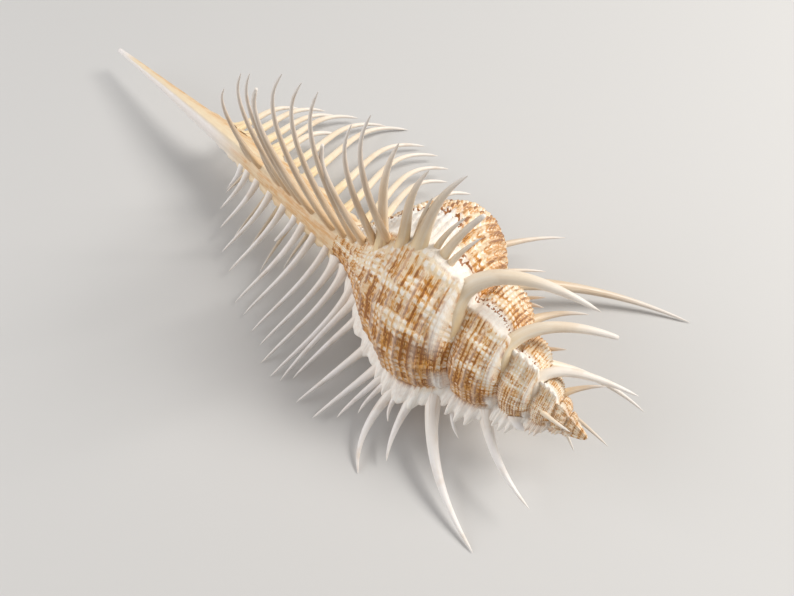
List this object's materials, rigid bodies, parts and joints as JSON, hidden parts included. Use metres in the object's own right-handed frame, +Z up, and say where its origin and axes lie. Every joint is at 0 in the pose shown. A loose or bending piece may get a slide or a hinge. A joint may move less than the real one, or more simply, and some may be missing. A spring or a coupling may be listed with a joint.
{
  "type": "venus comb murex shell",
  "caption": "Spiny sea snail shell with a round coiled body, a long straight canal and combs of long curved spines, lying on the tips of its spines.",
  "frame": {"origin": "middle of the shell's bounding box, on the table that it rests on", "axes": "+X from the tip of the canal towards the top of the spire, +Z up from the table, with the shell lying as in the picture"},
  "size_m": [0.1276, 0.0576, 0.0533],
  "materials": {
    "lime": "glossy"
  },
  "bodies": {
    "root": {"shell": "lime"}
  },
  "joints": []
}
